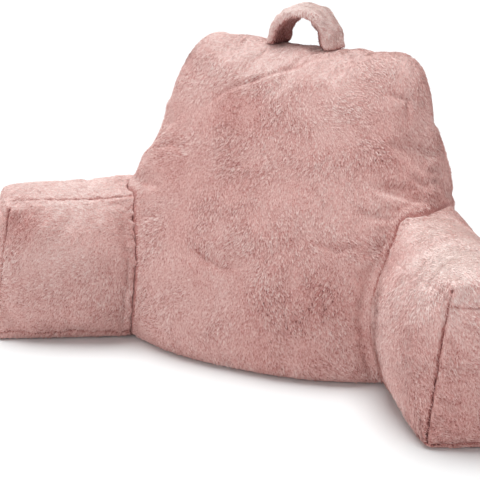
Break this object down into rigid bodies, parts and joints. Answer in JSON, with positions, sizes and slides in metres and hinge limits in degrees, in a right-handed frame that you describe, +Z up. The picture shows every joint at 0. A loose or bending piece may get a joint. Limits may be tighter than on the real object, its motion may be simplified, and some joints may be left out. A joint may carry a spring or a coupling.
{
  "type": "reading pillow with arms",
  "caption": "Filled reading pillow: a tall back cushion that leans back, short arms at its sides and a carry handle on top, covered in short plush fur.",
  "frame": {"origin": "centre of the bounding box at the floor, under the pillow's base", "axes": "+Z up, +X along the pillow's width with the right arm at the high end as seen from in front, -Y the front, where the sitter leans"},
  "size_m": [0.9784, 0.4138, 0.5189],
  "materials": {
    "fur": "soft matte short pile"
  },
  "bodies": {
    "root": {"back_cushion": "fur", "left_arm": "fur", "right_arm": "fur", "carry_handle": "fur"}
  },
  "joints": []
}
